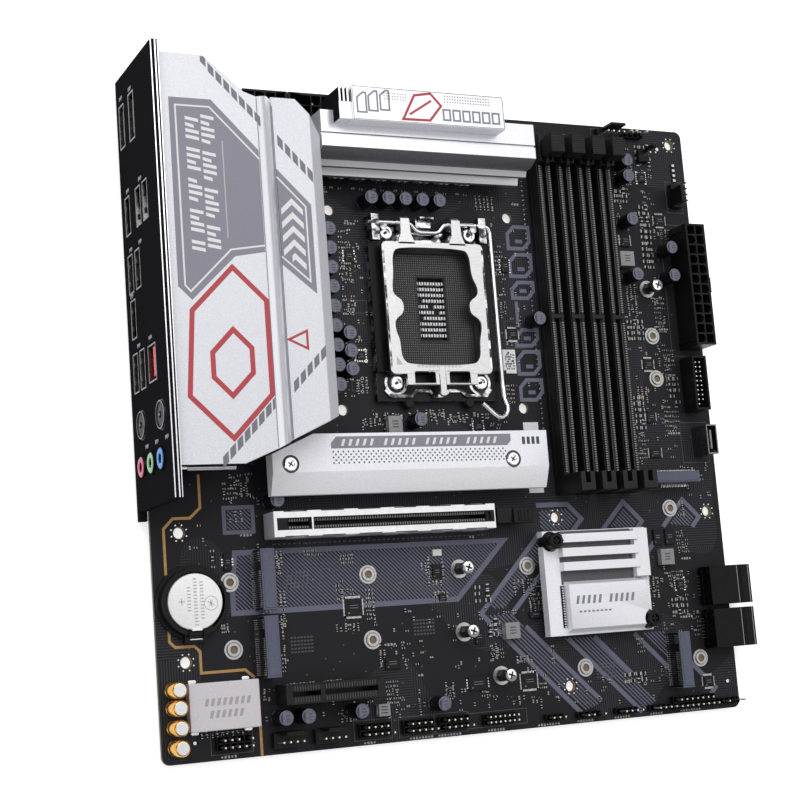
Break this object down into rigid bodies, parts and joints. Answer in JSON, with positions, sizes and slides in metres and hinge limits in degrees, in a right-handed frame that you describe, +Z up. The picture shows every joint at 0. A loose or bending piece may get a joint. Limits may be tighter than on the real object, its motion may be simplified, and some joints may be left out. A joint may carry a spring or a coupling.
{
  "type": "computer motherboard",
  "caption": "Micro-ATX desktop computer motherboard, black, with white heatsinks, a hinged processor socket, memory slots with latches, card slots and a rear connector panel.",
  "frame": {"origin": "under the middle of the whole assembly, at its lowest level, the ends of the solder joints", "axes": "+X from the rear connector panel to the front edge, +Y from the bottom edge to the edge by the processor, +Z up off the component side"},
  "size_m": [0.2552, 0.2472, 0.048],
  "materials": {
    "board": "matt black solder mask",
    "white_coat": "satin white over aluminium",
    "white_cover": "satin white",
    "black_plastic": "moulded",
    "black_sheet": "satin black steel sheet",
    "bright_steel": "bright plated steel",
    "connector_shell": "plated steel sheet",
    "choke_core": "pressed powder core",
    "capacitor_can": "satin can",
    "gold_sleeve": "gold can",
    "cell_steel": "bright steel",
    "lilac_plastic": "moulded",
    "shield_grey": "pale grey steel sheet",
    "jack_plastic": "moulded"
  },
  "bodies": {
    "board": {"antenna_connectors": "connector_shell", "audio_capacitor_bank": "gold_sleeve", "audio_cover": "shield_grey", "audio_jacks": "jack_plastic", "battery_holder": "black_plastic", "capacitor_bank_left": "capacitor_can", "capacitor_bank_top": "capacitor_can", "chipset_heatsink": "white_coat", "chipset_package": "board", "chipset_push_pin_1": "black_plastic", "chipset_push_pin_2": "black_plastic", "choke_bank_left": "choke_core", "choke_bank_top": "choke_core", "circuit_board": "board", "display_ports": "connector_shell", "expansion_slot": "black_plastic", "front_usb_c_header": "connector_shell", "front_usb_header": "black_plastic", "graphics_slot": "black_plastic", "graphics_slot_shield": "bright_steel", "io_cover": "white_cover", "io_shield": "black_sheet", "m2_socket_covered": "lilac_plastic", "m2_socket_front_lower": "lilac_plastic", "m2_socket_front_upper": "lilac_plastic", "m2_socket_rear_lower": "lilac_plastic", "m2_socket_rear_upper": "lilac_plastic", "main_power_socket": "black_plastic", "memory_slot_1": "black_plastic", "memory_slot_2": "black_plastic", "memory_slot_3": "black_plastic", "memory_slot_4": "black_plastic", "network_port": "connector_shell", "processor_power_socket_1": "black_plastic", "processor_power_socket_2": "black_plastic", "sata_port_lower": "black_plastic", "sata_port_upper": "black_plastic", "socket_backplate": "bright_steel", "socket_frame": "bright_steel", "socket_housing": "black_plastic", "socket_screw_1": "bright_steel", "socket_screw_2": "bright_steel", "socket_screw_3": "bright_steel", "socket_screw_4": "bright_steel", "usb_port_lower": "connector_shell", "usb_ports_middle": "connector_shell", "usb_ports_upper": "connector_shell", "vrm_heatsink_left": "white_coat", "vrm_heatsink_top": "white_coat"},
    "m2_cover": {"m2_heatsink": "white_coat", "m2_heatsink_screw_left": "bright_steel", "m2_heatsink_screw_right": "bright_steel"},
    "cell": {"coin_cell": "cell_steel"},
    "load_plate": {"socket_load_plate": "bright_steel"},
    "lever": {"socket_lever": "bright_steel"},
    "card_latch": {"graphics_slot_latch": "black_plastic"},
    "memory_latch_1": {"memory_latch_1": "black_plastic"},
    "memory_latch_2": {"memory_latch_2": "black_plastic"},
    "memory_latch_3": {"memory_latch_3": "black_plastic"},
    "memory_latch_4": {"memory_latch_4": "black_plastic"}
  },
  "joints": [
    {"name": "memory_latch_1_hinge", "type": "hinge", "parent": "board", "child": "memory_latch_1", "pos_m": [0.0469, 0.10635, 0.0079], "axis": [-1, 0, 0], "range_deg": [0, 26]},
    {"name": "memory_latch_2_hinge", "type": "hinge", "parent": "board", "child": "memory_latch_2", "pos_m": [0.05645, 0.10635, 0.0079], "axis": [-1, 0, 0], "range_deg": [0, 26]},
    {"name": "memory_latch_3_hinge", "type": "hinge", "parent": "board", "child": "memory_latch_3", "pos_m": [0.066, 0.10635, 0.0079], "axis": [-1, 0, 0], "range_deg": [0, 26]},
    {"name": "memory_latch_4_hinge", "type": "hinge", "parent": "board", "child": "memory_latch_4", "pos_m": [0.07555, 0.10635, 0.0079], "axis": [-1, 0, 0], "range_deg": [0, 26]},
    {"name": "load_plate_hinge", "type": "hinge", "parent": "board", "child": "load_plate", "pos_m": [-0.0062, 0.07355, 0.0083], "axis": [-1, 0, 0], "range_deg": [0, 108]},
    {"name": "lever_hinge", "type": "hinge", "parent": "board", "child": "lever", "pos_m": [0.0214, 0.07355, 0.0083], "axis": [-1, 0, 0], "range_deg": [0, 115]},
    {"name": "card_latch_hinge", "type": "hinge", "parent": "board", "child": "card_latch", "pos_m": [0.0142, -0.04235, 0.0069], "axis": [0, 1, 0], "range_deg": [0, 15]},
    {"name": "cell_lift", "type": "slide", "parent": "board", "child": "cell", "axis": [0, 0, 1], "range_m": [0, 0.008]},
    {"name": "m2_cover_lift", "type": "slide", "parent": "board", "child": "m2_cover", "axis": [0, 0, 1], "range_m": [0, 0.02]}
  ]
}
